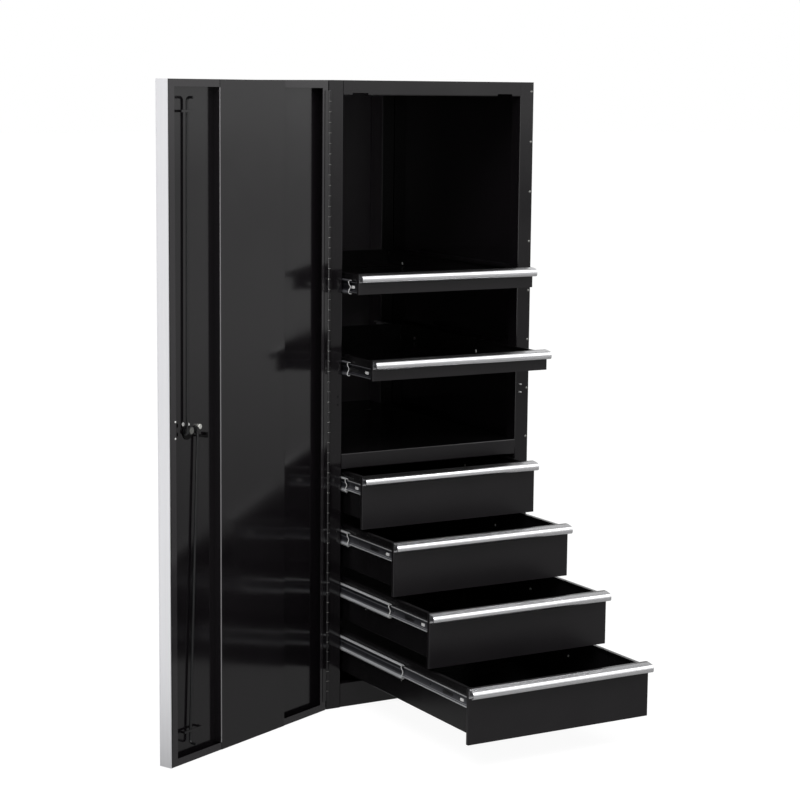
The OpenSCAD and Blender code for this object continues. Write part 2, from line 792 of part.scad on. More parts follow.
// Turns an outline or a round piece so that its axis runs out of the door, from a given depth
module from_depth(depth) {
    translate([0, -depth, 0]) rotate([90, 0, 0]) children();
}

module lock_housing() {
    housing_in = cam_back + 0.3;
    color(slide_metal) on_door() translate([lock_s, 0, lock_z]) {
        difference() {
            union() {
                from_depth(housing_in) cylinder(r = housing_r, h = door_depth - housing_in);
                from_depth(door_depth) cylinder(r = housing_r + 3, h = 1.6);
            }
            from_depth(housing_in - 1) cylinder(r = plug_r + bore_clear, h = door_depth);
        }
        difference() {
            from_depth(skin_depth - rivet_head_t) cylinder(r = housing_r + 2, h = rivet_head_t, $fn = 6);
            from_depth(skin_depth - 3) cylinder(r = housing_r + bore_clear, h = 4);
        }
    }
}

module lock_plug() {
    plug_out = door_depth + 1.6;
    color(slide_metal) on_door() translate([lock_s, 0, lock_z]) difference() {
        union() {
            from_depth(cam_front - 1) cylinder(r = plug_r, h = plug_out - cam_front + 1);
            from_depth(cam_front - 1.6) cylinder(r = plug_r + 1.5, h = 1.6);
        }
        translate([-0.7, -plug_out - 1, -3.5]) cube([1.4, 5, 7]);
    }
}

module lock_cam() {
    color(black_zinc) on_door() translate([lock_s, 0, lock_z]) from_depth(cam_front)
        linear_extrude(cam_t) difference() {
            union() {
                translate([-cam_arm, -7]) square([2 * cam_arm, 14]);
                for (s = [-1, 1]) translate([s * cam_arm, 0]) circle(9);
                circle(10);
            }
            circle(plug_r + bore_clear);
            for (s = [-1, 1]) translate([s * cam_arm, 0]) circle(rivet_shank);
        }
}

module cam_rivets() {
    head_depth = eye_depth - eye_t - rivet_clear - rivet_head_t;
    color(zinc_metal) on_door() for (s = [-1, 1]) translate([lock_s + s * cam_arm, 0, lock_z]) {
        from_depth(head_depth) cylinder(r = rivet_shank, h = cam_back - head_depth + rivet_head_t);
        from_depth(head_depth) cylinder(r = rivet_head, h = rivet_head_t);
        from_depth(cam_back) cylinder(r = rivet_head, h = rivet_head_t);
    }
}

// Locking rod with its eye at the origin and its bent end up, reaching towards +Y
module locking_rod(length) {
    straight = length - rod_bend;
    reach = rod_depth + rod_reach - rod_bend;
    difference() {
        union() {
            from_depth(eye_depth - eye_t - rod_depth) cylinder(r = eye_r, h = eye_t);
            translate([0, 0, eye_r - 1.5]) cylinder(r = rod_r, h = straight - eye_r + 1.5);
            translate([0, rod_bend, straight]) rotate([90, 0, -90])
                rotate_extrude(angle = 90) translate([rod_bend, 0]) circle(rod_r);
            translate([0, rod_bend, length]) rotate([-90, 0, 0]) cylinder(r = rod_r, h = reach);
        }
        from_depth(eye_depth - eye_t - rod_depth - 1)
            cylinder(r = rivet_shank + bore_clear, h = eye_t + 2);
    }
}

// Places a rod on its pivot, leaning so that it passes through its guide
module rod_on_pivot(arm, end_z) {
    lean_s = rod_s - lock_s - arm;
    drop = end_z - lock_z;
    length = norm([lean_s, drop]);
    color(black_zinc) on_door() translate([lock_s + arm, -rod_depth, lock_z])
        rotate([0, atan2(lean_s, drop), 0]) locking_rod(length);
}

module upper_rod() {
    rod_on_pivot(cam_arm, rod_top);
}

module lower_rod() {
    rod_on_pivot(-cam_arm, rod_bottom);
}

// Strap guides on the door's skin, which the rods pass under
module rod_guides() {
    color(black_coat) on_door() for (z = [rod_top - guide_back, rod_bottom + guide_back])
        translate([rod_s - guide_w / 2 - 6, 0, z - guide_h / 2]) linear_extrude(guide_h) {
            translate([0, -guide_inside]) square([guide_w, guide_bar]);
            for (s = [0, guide_w - guide_bar])
                translate([s, -skin_depth]) square([guide_bar, skin_depth - guide_inside]);
            for (s = [-6, guide_w - guide_bar])
                translate([s, -skin_depth]) square([6 + guide_bar, guide_bar]);
        }
}

side_panel(false);  // left_side_panel
side_panel(true);  // right_side_panel
back_panel();
top_panel();
base_pan();
front_post(false);  // left_post
front_post(true);  // right_post
top_rail();
middle_rail();
toe_rail();
fixed_shelf();
rear_uprights();
post_rivets();
strike_plate();
cabinet_hinge_leaf();
hinge_pin();
cabinet_slides(false);  // left_cabinet_slides
cabinet_slides(true);  // right_cabinet_slides
door_shell();
door_stiffener();
door_edge_trim();
door_hinge_leaf();
door_catch();
lock_housing();
rod_guides();
lock_plug();
lock_cam();
cam_rivets();
upper_rod();
lower_rod();
for (i = bays) {
    bay_box(i);
    bay_front(i);
    bay_pull(i);
    bay_slides(i);
    bay_mid_slides(i);
}
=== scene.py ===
from math import cos, pi, radians, sin

import bmesh
import bpy
from mathutils import Matrix, Vector


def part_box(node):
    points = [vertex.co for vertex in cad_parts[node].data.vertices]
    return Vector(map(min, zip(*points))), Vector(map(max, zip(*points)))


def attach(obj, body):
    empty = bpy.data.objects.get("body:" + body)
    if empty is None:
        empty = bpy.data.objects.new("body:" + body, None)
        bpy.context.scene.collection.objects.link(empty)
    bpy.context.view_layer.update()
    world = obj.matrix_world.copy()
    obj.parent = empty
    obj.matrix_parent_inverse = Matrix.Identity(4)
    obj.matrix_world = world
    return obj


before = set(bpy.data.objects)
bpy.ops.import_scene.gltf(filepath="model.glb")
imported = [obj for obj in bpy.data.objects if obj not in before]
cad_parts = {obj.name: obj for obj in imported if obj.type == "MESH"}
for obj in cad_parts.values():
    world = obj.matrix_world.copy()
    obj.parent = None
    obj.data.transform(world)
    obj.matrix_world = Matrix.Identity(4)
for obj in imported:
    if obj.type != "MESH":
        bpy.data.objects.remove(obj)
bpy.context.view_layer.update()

# Studio
# A photographer's view from the left of the front, at the height of the cabinet's top. The floor is
# plain and pale and keeps the shadow, and the backdrop is white for the camera and for reflections.
eye = Vector((-2.6972, -4.9268, 1.5309))
yaw, pitch, roll = -29.886, 8.315, 0.557  # degrees: turned to the right, tilted down, rolled
camera_data = bpy.data.cameras.new("camera")
camera_data.sensor_width = 36.0
camera_data.lens = 95.84
camera_data.clip_end = 100.0
camera = bpy.data.objects.new("camera", camera_data)
bpy.context.scene.collection.objects.link(camera)
camera.matrix_world = (Matrix.Translation(eye) @ Matrix.Rotation(radians(yaw), 4, "Z")
                       @ Matrix.Rotation(radians(90 - pitch), 4, "X")
                       @ Matrix.Rotation(radians(roll), 4, "Z"))
bpy.context.scene.camera = camera
bpy.context.scene.view_settings.view_transform = "Standard"


def linear(hex_colour):
    """Linear colour of an sRGB hex value."""
    parts = [int(hex_colour[i:i + 2], 16) / 255 for i in (1, 3, 5)]
    return [p / 12.92 if p <= 0.04045 else ((p + 0.055) / 1.055) ** 2.4 for p in parts] + [1.0]


def add(tree, kind, inputs=None, **properties):
    """Adds a node with its properties, and gives each named input its value or its link."""
    made = tree.nodes.new(kind)
    for name, value in properties.items():
        setattr(made, name, value)
    for name, value in (inputs or {}).items():
        if isinstance(value, bpy.types.NodeSocket):
            tree.links.new(value, made.inputs[name])
        else:
            made.inputs[name].default_value = value
    return made


# Rays from the camera, a mirror or a window see white, and those that carry the light a dimmer room.
# Towards the back, a reflection also sees a grey ceiling, which begins from 22 to 31 degrees up.
white = linear("#ffffff")
room_strength, ceiling_strength = 0.55, 0.26
world = bpy.data.worlds.new("white_studio")
bpy.context.scene.world = world
world.use_nodes = True
sky = world.node_tree
sky.nodes.clear()
ray = add(sky, "ShaderNodeLightPath").outputs
shown = add(sky, "ShaderNodeMath", {0: ray["Is Camera Ray"], 1: ray["Is Glossy Ray"]},
            operation="MAXIMUM")
shown = add(sky, "ShaderNodeMath", {0: shown.outputs[0], 1: ray["Is Transmission Ray"]},
            operation="MAXIMUM")
place = add(sky, "ShaderNodeTexCoord").outputs["Generated"]
heading = add(sky, "ShaderNodeSeparateXYZ", {"Vector": place}).outputs
behind = add(sky, "ShaderNodeMapRange", {"Value": heading["Y"], "From Min": 0.0, "From Max": 0.5})
above = add(sky, "ShaderNodeMapRange", {"Value": heading["Z"], "From Min": 0.38, "From Max": 0.52})
ceiling = add(sky, "ShaderNodeMath", {0: behind.outputs[0], 1: above.outputs[0]}, operation="MULTIPLY")
mirrored = add(sky, "ShaderNodeMath", {0: ceiling.outputs[0], 1: ray["Is Glossy Ray"]},
               operation="MULTIPLY")
dimming = add(sky, "ShaderNodeMapRange", {"Value": mirrored.outputs[0], "To Min": 1.0,
                                          "To Max": ceiling_strength})
white_seen = add(sky, "ShaderNodeBackground", {"Color": white, "Strength": dimming.outputs[0]})
white_light = add(sky, "ShaderNodeBackground", {"Color": white, "Strength": room_strength})
sky_mix = add(sky, "ShaderNodeMixShader", {0: shown.outputs[0], 1: white_light.outputs[0],
                                           2: white_seen.outputs[0]})
add(sky, "ShaderNodeOutputWorld", {"Surface": sky_mix.outputs[0]})


def new_material(name):
    """A material with an empty tree."""
    material = bpy.data.materials.new(name)
    material.use_nodes = True
    material.node_tree.nodes.clear()
    return material, material.node_tree


# The camera sees a pale floor with the shadow on it: paint with most of its colour from a glow.
glow_share = 0.72
floor_paint, tree = new_material("white_studio_floor")
ray = add(tree, "ShaderNodeLightPath").outputs
paint = add(tree, "ShaderNodeBsdfDiffuse", {"Color": linear("#c8c8c8")})
glow = add(tree, "ShaderNodeEmission", {"Color": white, "Strength": 1.3})
share = add(tree, "ShaderNodeMath", {0: ray["Is Camera Ray"], 1: glow_share}, operation="MULTIPLY")
floor_mix = add(tree, "ShaderNodeMixShader", {0: share.outputs[0], 1: paint.outputs[0],
                                              2: glow.outputs[0]})
# In reflections the floor is a glow with painted light on it: a middle grey in front, painted paler from
# 2 to 8 m out at the sides and behind, and near white from 0.8 to 1.6 m out to the left, where the key
# light falls.
front_strength, side_strength, left_gain = 0.32, 0.58, 2.3
spot = add(tree, "ShaderNodeTexCoord").outputs["Object"]
way = add(tree, "ShaderNodeVectorMath", {0: spot}, operation="NORMALIZE")
way = add(tree, "ShaderNodeSeparateXYZ", {"Vector": way.outputs[0]}).outputs
distance = add(tree, "ShaderNodeVectorMath", {0: spot}, operation="LENGTH")
far = add(tree, "ShaderNodeMapRange", {"Value": distance.outputs["Value"], "From Min": 2.0,
                                       "From Max": 8.0})
beside = add(tree, "ShaderNodeMapRange", {"Value": way["Y"], "From Min": -0.8, "From Max": -0.5})
sides = add(tree, "ShaderNodeMath", {0: far.outputs[0], 1: beside.outputs[0]}, operation="MULTIPLY")
spot = add(tree, "ShaderNodeSeparateXYZ", {"Vector": spot}).outputs
left = add(tree, "ShaderNodeMapRange", {"Value": spot["X"], "From Min": -0.8, "From Max": -1.6,
                                        "To Min": 0.0, "To Max": left_gain})
pale = add(tree, "ShaderNodeMath", {0: sides.outputs[0], 1: left.outputs[0]}, operation="MAXIMUM")
fade = add(tree, "ShaderNodeMapRange", {"Value": pale.outputs[0], "To Min": front_strength,
                                        "To Max": side_strength}, clamp=False)
sweep = add(tree, "ShaderNodeEmission", {"Color": white, "Strength": fade.outputs[0]})
floor_seen = add(tree, "ShaderNodeMixShader", {0: ray["Is Glossy Ray"], 1: floor_mix.outputs[0],
                                               2: sweep.outputs[0]})
add(tree, "ShaderNodeOutputMaterial", {"Surface": floor_seen.outputs[0]})
MM = 0.001  # metres in a millimetre
reach, drop = 60.0, 0.5 * MM
floor_mesh = bpy.data.meshes.new("studio_floor")
floor_mesh.from_pydata([(-reach, -reach, -drop), (reach, -reach, -drop), (reach, reach, -drop),
                        (-reach, reach, -drop)], [], [(0, 1, 2, 3)])
floor_mesh.materials.append(floor_paint)
floor = bpy.data.objects.new("studio_floor", floor_mesh)
bpy.context.scene.collection.objects.link(floor)

# Two soft boxes above the cabinet, in front at the left and the right, and a tall narrow one further
# left. Sizes and places are in metres, and powers in watts.
for name, place, aim, width, height, power in [
        ("key_softbox", (-3.0, -3.4, 4.6), (0.0, -0.3, 0.8), 2.4, 2.4, 150),
        ("fill_softbox", (3.4, -3.6, 4.4), (0.0, -0.3, 0.7), 2.4, 2.4, 70),
        ("strip_softbox", (-4.4, -3.2, 1.5), (-0.3, -0.5, 0.8), 0.5, 3.4, 26)]:
    lamp_data = bpy.data.lights.new(name, "AREA")
    lamp_data.shape = "RECTANGLE"
    lamp_data.size = width
    lamp_data.size_y = height
    lamp_data.energy = power
    lamp = bpy.data.objects.new(name, lamp_data)
    bpy.context.scene.collection.objects.link(lamp)
    lamp.location = place
    lamp.rotation_euler = (Vector(aim) - Vector(place)).to_track_quat("-Z", "Y").to_euler()

# Casing
# Panels, posts, rails, base and shelf of folded mild steel sheet with a baked black powder coat, which
# levels to a faint orange peel and shows soft, dim reflections of what stands near it. The outside is
# glossy, the rail between the compartments satin, and the base and the shelf duller.


def powder_coat(name, colour, roughness, specular=0.5):
    """Baked powder coat: a dark plastic skin, glossy but not a mirror, with a fine orange peel."""
    material, tree = new_material(name)
    place = add(tree, "ShaderNodeTexCoord").outputs["Object"]
    # Clouds of 140 mm, 7 to the metre, as the coat's thickness drifts, and orange peel of 4 mm, 260 to
    # the metre. The real peel is 1 to 2 mm and would be too fine to show.
    clouds = add(tree, "ShaderNodeTexNoise", {"Vector": place, "Scale": 7.0, "Detail": 3.0})
    peel = add(tree, "ShaderNodeTexNoise", {"Vector": place, "Scale": 260.0, "Detail": 1.0})
    # The colour is up to a quarter paler in the clouds.
    plain = linear(colour)
    paler = [1.25 * part for part in plain[:3]] + [1.0]
    tint = add(tree, "ShaderNodeMix", {"Factor": clouds.outputs["Fac"], "A": plain, "B": paler},
               data_type="RGBA")
    varied = add(tree, "ShaderNodeMapRange", {"Value": clouds.outputs["Fac"], "From Min": 0.3,
                                              "From Max": 0.7, "To Min": roughness - 0.02,
                                              "To Max": roughness + 0.04})
    bump = add(tree, "ShaderNodeBump", {"Height": peel.outputs["Fac"], "Strength": 0.05,
                                        "Distance": 0.4 * MM})
    shader = add(tree, "ShaderNodeBsdfPrincipled",
                 {"Base Color": tint.outputs["Result"], "Roughness": varied.outputs[0],
                  "Normal": bump.outputs[0], "IOR": 1.5, "Specular IOR Level": specular})
    add(tree, "ShaderNodeOutputMaterial", {"Surface": shader.outputs[0]})
    return material


def dress(material, *names):
    """Gives CAD nodes their finish."""
    for name in names:
        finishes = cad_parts[name].data.materials
        finishes.clear()
        finishes.append(material)


gloss_black, gloss_roughness = "#100e10", 0.13
black_powder = powder_coat("black_gloss_powder_coat", gloss_black, gloss_roughness)
satin_powder = powder_coat("black_satin_powder_coat", "#131113", roughness=0.3, specular=0.42)
inner_powder = powder_coat("black_inner_powder_coat", "#0c0b0c", roughness=0.24, specular=0.32)
dress(black_powder, "left_side_panel", "right_side_panel", "top_panel", "left_post", "right_post",
      "top_rail", "toe_rail", "cabinet_hinge_leaf")
dress(satin_powder, "middle_rail")
dress(inner_powder, "base_pan", "fixed_shelf")

# Back of the casing
# A sheet panel and the two folded uprights that carry the slides, in a charcoal coat. The panel's face
# towards the opening has painted light. The uprights' webs are painted pale, as painted light from the
# opening, and their front flanges painted near black, as painted shade.
to_front = (0.0, -1.0, 0.0)


def facing(tree, way, least, most):
    """0 to 1 as the part of a surface's normal along a direction goes from least to most."""
    normal = add(tree, "ShaderNodeTexCoord").outputs["Normal"]
    turned = add(tree, "ShaderNodeVectorMath", {0: normal, 1: way}, operation="DOT_PRODUCT")
    return add(tree, "ShaderNodeMapRange", {"Value": turned.outputs["Value"],
                                            "From Min": least, "From Max": most}).outputs[0]


def base_colour(material):
    """The socket of a material's base colour."""
    shader = next(node for node in material.node_tree.nodes if node.type == "BSDF_PRINCIPLED")
    return shader.inputs["Base Color"]


def repaint(material, mask, colour):
    """Gives a material another base colour where a mask is 1."""
    base = base_colour(material)
    mixed = add(material.node_tree, "ShaderNodeMix",
                {"Factor": mask, "A": base.links[0].from_socket, "B": linear(colour)}, data_type="RGBA")
    material.node_tree.links.new(mixed.outputs["Result"], base)


# Painted light and shade: each coat's colour, and the colour of its faces towards the front.
for name, colour, specular, front_painted_shading in [("back_panel", "#131113", 0.5, "#4a464a"),
                                             ("rear_uprights", "#6c666c", 0.3, "#050405")]:
    charcoal_powder = powder_coat("charcoal_powder_coat_of_" + name, colour, roughness=0.3,
                                  specular=specular)
    front_mask = facing(charcoal_powder.node_tree, to_front, least=0.5, most=0.9)
    repaint(charcoal_powder, front_mask, front_painted_shading)
    dress(charcoal_powder, name)

# Trays and drawers
# Two shallow trays over four deep drawers, each a folded and spot-welded box behind a front panel. The
# fronts have the satin coat, and the boxes the duller one.
bays = ["upper_tray", "lower_tray", "drawer_1", "drawer_2", "drawer_3", "drawer_4"]
dress(satin_powder, *[bay + "_front" for bay in bays])
dress(inner_powder, *[bay + "_box" for bay in bays])

# Door
# A shell of folded sheet with a hat-shaped stiffener down its middle, in the casing's gloss black coat,
# on a full-height continuous hinge. The rim's edge is painted paler, a painted highlight where it stands
# nearer to the light than the skin, and the joint beside the edge trim is painted black, a painted
# shadow.
door_open = 155  # degrees
door_turn = Matrix.Rotation(radians(-door_open), 4, "Z")
pin_low, pin_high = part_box("hinge_pin")
hinge_line = Vector(((pin_low[0] + pin_high[0]) / 2, (pin_low[1] + pin_high[1]) / 2, 0.0))
to_free_edge, out_of_hollow, upwards = [door_turn.to_3x3() @ Vector(axis)
                                        for axis in ((1, 0, 0), (0, 1, 0), (0, 0, 1))]


def past(tree, way, least, most):
    """0 to 1 as a surface lies from least to most millimetres past the hinge line along a direction."""
    place = add(tree, "ShaderNodeTexCoord").outputs["Object"]
    distance = add(tree, "ShaderNodeVectorMath", {0: place, 1: way}, operation="DOT_PRODUCT")
    start = hinge_line.dot(way)
    return add(tree, "ShaderNodeMapRange", {"Value": distance.outputs["Value"],
                                            "From Min": start + least * MM,
                                            "From Max": start + most * MM}).outputs[0]


rim_edge, joint, blur = 1.0, 577.8, 0.2  # millimetres: the rim from its edge down, the joint from the pin
shell_powder = powder_coat("black_door_coat_with_painted_light_and_shadow", gloss_black, gloss_roughness)
tree = shell_powder.node_tree
# Painted highlight on the rim's edge, and painted shadow in the joint beside the trim.
repaint(shell_powder, past(tree, out_of_hollow, -rim_edge - blur, -rim_edge + blur), "#282628")
repaint(shell_powder, past(tree, to_free_edge, joint - blur, joint + blur), "#000000")
dress(shell_powder, "door_shell")
# The catch is moulded in black plastic as glossy as the coat.
dress(black_powder, "door_hinge_leaf", "door_catch", "rod_guides")

# A painted highlight runs down the middle of the stiffener's fold towards the free edge, and stops where
# the rims at the door's ends cover it.
middle_of_fold, fold_core, fold_reach = 0.55, 0.3, 0.42  # parts of the normal towards the free edge
end_rim = 17  # millimetres
fold_highlight_powder = powder_coat("black_stiffener_coat_with_painted_highlight", gloss_black, gloss_roughness)
tree = fold_highlight_powder.node_tree
normal = add(tree, "ShaderNodeTexCoord").outputs["Normal"]
turned = add(tree, "ShaderNodeVectorMath", {0: normal, 1: to_free_edge}, operation="DOT_PRODUCT")
off_middle = add(tree, "ShaderNodeMath", {0: turned.outputs["Value"], 1: middle_of_fold},
                 operation="SUBTRACT")
off_middle = add(tree, "ShaderNodeMath", {0: off_middle.outputs[0]}, operation="ABSOLUTE")
# Painted highlight where the fold's normal turns halfway towards the free edge.
line = add(tree, "ShaderNodeMapRange", {"Value": off_middle.outputs[0], "From Min": fold_core,
                                        "From Max": fold_reach, "To Min": 1.0, "To Max": 0.0})
for end, inwards in zip(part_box("door_stiffener"), (1, -1)):
    edge = end[2] / MM + inwards * end_rim
    clear = past(tree, upwards, edge, edge + inwards)
    line = add(tree, "ShaderNodeMath", {0: clear, 1: line.outputs[0]}, operation="MULTIPLY")
repaint(fold_highlight_powder, line.outputs[0], "#767476")
dress(fold_highlight_powder, "door_stiffener")

# Pulls and the door's edge trim
# Aluminium extrusions, brushed along their length and clear anodised: near white where they face
# the light, with fine lengthwise streaks.


def drawn_lines(tree, along, across_scale, along_scale, detail):
    """Noise drawn out to lines along one axis of the object, with its scales in cells to the metre."""
    scales = [across_scale] * 3
    scales["XYZ".index(along)] = along_scale
    place = add(tree, "ShaderNodeTexCoord").outputs["Object"]
    drawn = add(tree, "ShaderNodeMapping", {"Vector": place, "Scale": scales})
    lines = add(tree, "ShaderNodeTexNoise", {"Vector": drawn.outputs[0], "Scale": 1.0, "Detail": detail})
    return lines.outputs["Fac"]


def brushed_aluminium(name, along, dark, light, roughness, metallic):
    """Clear anodised aluminium with the drawn-out scratches of a brushing wheel along one axis."""
    material, tree = new_material(name)
    # Scratches 1.1 mm apart and 250 mm long. Real ones are finer than a tenth of that and wouldn't show.
    streaks = drawn_lines(tree, along, across_scale=900.0, along_scale=4.0, detail=4.0)
    tint = add(tree, "ShaderNodeMix", {"Factor": streaks, "A": linear(dark), "B": linear(light)},
               data_type="RGBA")
    varied = add(tree, "ShaderNodeMapRange", {"Value": streaks, "From Min": 0.3, "From Max": 0.7,
                                              "To Min": roughness - 0.06, "To Max": roughness + 0.06})
    bump = add(tree, "ShaderNodeBump", {"Height": streaks, "Strength": 0.1, "Distance": 0.3 * MM})
    shader = add(tree, "ShaderNodeBsdfPrincipled",
                 {"Base Color": tint.outputs["Result"], "Roughness": varied.outputs[0],
                  "Normal": bump.outputs[0], "Metallic": metallic})
    add(tree, "ShaderNodeOutputMaterial", {"Surface": shader.outputs[0]})
    return material


pull_aluminium = brushed_aluminium("anodised_pull_extrusion", "X", "#e4e4e7", "#f6f6f7", roughness=0.27,
                                   metallic=1.0)
trim_aluminium = brushed_aluminium("anodised_trim_extrusion", "Z", "#dcdcdf", "#ececee", roughness=0.4,
                                   metallic=0.8)
dress(pull_aluminium, *[bay + "_pull" for bay in bays])
dress(trim_aluminium, "door_edge_trim")

# Slides and hinge pin
# Cold-rolled steel strip with a thin bright zinc plating, rolled along the slides' length. The light and
# shade of the rolled section are painted in bands: bright lips, dark races, and a grey web between. The
# sheared ends have painted shade, and the trays' slides are painted darker than the drawers', as shade.


def zinc_plate(name, along, dark, light, roughness, metallic):
    """Zinc plating on steel, with faint rolling lines along one axis."""
    material, tree = new_material(name)
    # Rolling lines 2 mm apart and 80 mm long. Real ones are hair-fine and wouldn't show.
    lines = drawn_lines(tree, along, across_scale=500.0, along_scale=12.0, detail=3.0)
    tint = add(tree, "ShaderNodeMix", {"Factor": lines, "A": linear(dark), "B": linear(light)},
               data_type="RGBA")
    varied = add(tree, "ShaderNodeMapRange", {"Value": lines, "From Min": 0.3, "From Max": 0.7,
                                              "To Min": roughness - 0.06, "To Max": roughness + 0.08})
    shader = add(tree, "ShaderNodeBsdfPrincipled",
                 {"Base Color": tint.outputs["Result"], "Roughness": varied.outputs[0],
                  "Metallic": metallic})
    add(tree, "ShaderNodeOutputMaterial", {"Surface": shader.outputs[0]})
    return material


def mid_height(name):
    """The height of a CAD node's middle."""
    low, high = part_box(name)
    return (low[2] + high[2]) / 2


def paint_section_light_and_shade(material, middle, bands):
    """Multiplies a slide's colour by bands of painted light and shade, and paints its front end darker as
    painted shade. A band is its height in millimetres from the slide's middle, and its colour."""
    tree = material.node_tree
    reach = 18  # millimetres up and down that the ramp takes in
    place = add(tree, "ShaderNodeTexCoord").outputs["Object"]
    height = add(tree, "ShaderNodeSeparateXYZ", {"Vector": place}).outputs["Z"]
    level = add(tree, "ShaderNodeMapRange", {"Value": height, "From Min": middle - reach * MM,
                                             "From Max": middle + reach * MM})
    ramp = add(tree, "ShaderNodeValToRGB", {"Fac": level.outputs[0]})
    stops = ramp.color_ramp.elements
    stops.remove(stops[1])
    stops[0].position = bands[0][0] / (2 * reach) + 0.5
    stops[0].color = linear(bands[0][1])
    for at, shade in bands[1:]:
        stops.new(at / (2 * reach) + 0.5).color = linear(shade)
    base = base_colour(material)
    rolled = add(tree, "ShaderNodeMix", {"Factor": 1.0, "A": ramp.outputs["Color"],
                                         "B": base.links[0].from_socket},
                 data_type="RGBA", blend_type="MULTIPLY")
    tree.links.new(rolled.outputs["Result"], base)
    # Painted shade on the sheared front ends.
    repaint(material, facing(tree, to_front, least=0.8, most=0.95), "#303032")


# Painted light and shade across the intermediate member's section, and across the drawer member's.
middle_painted_shading = [(-17.6, "#e8e8e8"), (-16.4, "#e8e8e8"), (-16.1, "#2c2c2e"), (-14.9, "#2c2c2e"),
                (-14.5, "#ffffff"), (-9.5, "#ffffff"), (-9, "#848488"), (-5.2, "#747478"),
                (-4.6, "#3c3c40"), (4, "#34343a"), (4.6, "#8c8c90"), (6.4, "#8c8c90"), (7, "#2c2c30"),
                (14, "#242428"), (15, "#808082"), (15.6, "#ffffff")]
box_painted_shading = [(-12.5, "#f4f4f4"), (-11.2, "#f4f4f4"), (-10.8, "#48484a"), (-9.6, "#48484a"),
             (-9, "#c0c0c4"), (-7.6, "#b0b0b4"), (-7, "#68686c"), (3, "#48484c"), (9, "#4c4c50"),
             (11, "#5a5a5e"), (11.6, "#f0f0f0")]
for bay in bays:
    # Painted shade: the trays' slides have darker zinc colours than the drawers'.
    dark, light = ("#d0d1d4", "#fafbfc") if bay.startswith("drawer") else ("#606064", "#8a8a90")
    for member, node, metallic, bands in [("middle", bay + "_mid_slides", 0.5, middle_painted_shading),
                                          ("box", bay + "_slides", 0.6, box_painted_shading)]:
        strip = zinc_plate("zinc_plated_" + member + "_strip_" + bay, "Y", dark, light, roughness=0.36,
                           metallic=metallic)
        paint_section_light_and_shade(strip, mid_height(bay + "_slides"), bands)
        dress(strip, node)
dress(zinc_plate("zinc_plated_slide_strip", "Y", "#c4c6c9", "#eceef0", roughness=0.3, metallic=0.7),
      "left_cabinet_slides", "right_cabinet_slides", "hinge_pin")

# Striker, post rivets and lock plug
# The striker is stamped from sheet and plated to a chalky white. The lock's turned plug and the
# rivets down the right post are dull steel.
dress(zinc_plate("white_zinc_striker", "Z", "#e4e4e2", "#ffffff", roughness=0.5, metallic=0.1),
      "strike_plate")
dress(zinc_plate("dull_steel", "Z", "#6a6a68", "#8c8c88", roughness=0.35, metallic=0.9),
      "lock_plug", "post_rivets")

# Locking rods and cam
# Steel rod and plate with a black zinc finish, a satin skin that is darker than the paint's shine.
# The cam turns in the lock's housing, and each rod hangs on it by a rivet.
dress(powder_coat("black_zinc_finish", "#08080a", roughness=0.34),
      "lock_cam", "upper_rod", "lower_rod", "lock_housing", "cam_rivets")

# Rivets through the boxes' walls
# Blind rivets of plated steel, pulled through the walls of each tray and drawer into the slides'
# drawer members, near the middle of their length and near their rear end.
rivet_sizes = {"Head Radius": 3.4, "Head Height": 1.2, "Stem Radius": 1.1}  # millimetres
stem_share = 2.3  # the stem's length, in heights of the head


def points_tree(name, sizes):
    """A geometry-nodes tree that takes a mesh of points and named sizes, given here in millimetres."""
    tree = bpy.data.node_groups.new(name, "GeometryNodeTree")
    tree.interface.new_socket("Geometry", in_out="INPUT", socket_type="NodeSocketGeometry")
    for label, size in sizes.items():
        socket = tree.interface.new_socket(label, in_out="INPUT", socket_type="NodeSocketFloat")
        socket.default_value = size * MM
    tree.interface.new_socket("Geometry", in_out="OUTPUT", socket_type="NodeSocketGeometry")
    return tree, add(tree, "NodeGroupInput").outputs


def set_on_points(tree, given, shape, material, turn=(0.0, 0.0, 0.0)):
    """Ends a tree: its shape on every point, turned one way, as a plain mesh with its material."""
    heads = add(tree, "GeometryNodeInstanceOnPoints", {"Points": given["Geometry"], "Instance": shape,
                                                       "Rotation": turn})
    solid = add(tree, "GeometryNodeRealizeInstances", {"Geometry": heads.outputs[0]})
    painted = add(tree, "GeometryNodeSetMaterial", {"Geometry": solid.outputs[0], "Material": material})
    add(tree, "NodeGroupOutput", {"Geometry": painted.outputs[0]})


def rivet_tree(name, material, turn):
    """A tree that sets a domed blind rivet on each point, its head and stem along one axis."""
    tree, given = points_tree(name, rivet_sizes)
    size = add(tree, "ShaderNodeCombineXYZ", {"X": given["Head Radius"], "Y": given["Head Radius"],
                                              "Z": given["Head Height"]})
    ball = add(tree, "GeometryNodeMeshUVSphere", {"Segments": 16, "Rings": 8, "Radius": 1.0})
    dome = add(tree, "GeometryNodeTransform", {"Geometry": ball.outputs["Mesh"],
                                               "Scale": size.outputs[0]})
    tall = add(tree, "ShaderNodeMath", {0: given["Head Height"], 1: stem_share}, operation="MULTIPLY")
    stem = add(tree, "GeometryNodeMeshCylinder", {"Vertices": 10, "Radius": given["Stem Radius"],
                                                  "Depth": tall.outputs[0]})
    rivet = add(tree, "GeometryNodeJoinGeometry")
    for part in (dome.outputs[0], stem.outputs["Mesh"]):
        tree.links.new(part, rivet.inputs[0])
    set_on_points(tree, given, rivet.outputs[0], material, turn)
    return tree


def settle(name, mesh, body):
    """Makes a finished mesh a piece that rides on a body."""
    piece = bpy.data.objects.new(name, mesh)
    bpy.context.scene.collection.objects.link(piece)
    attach(piece, body)


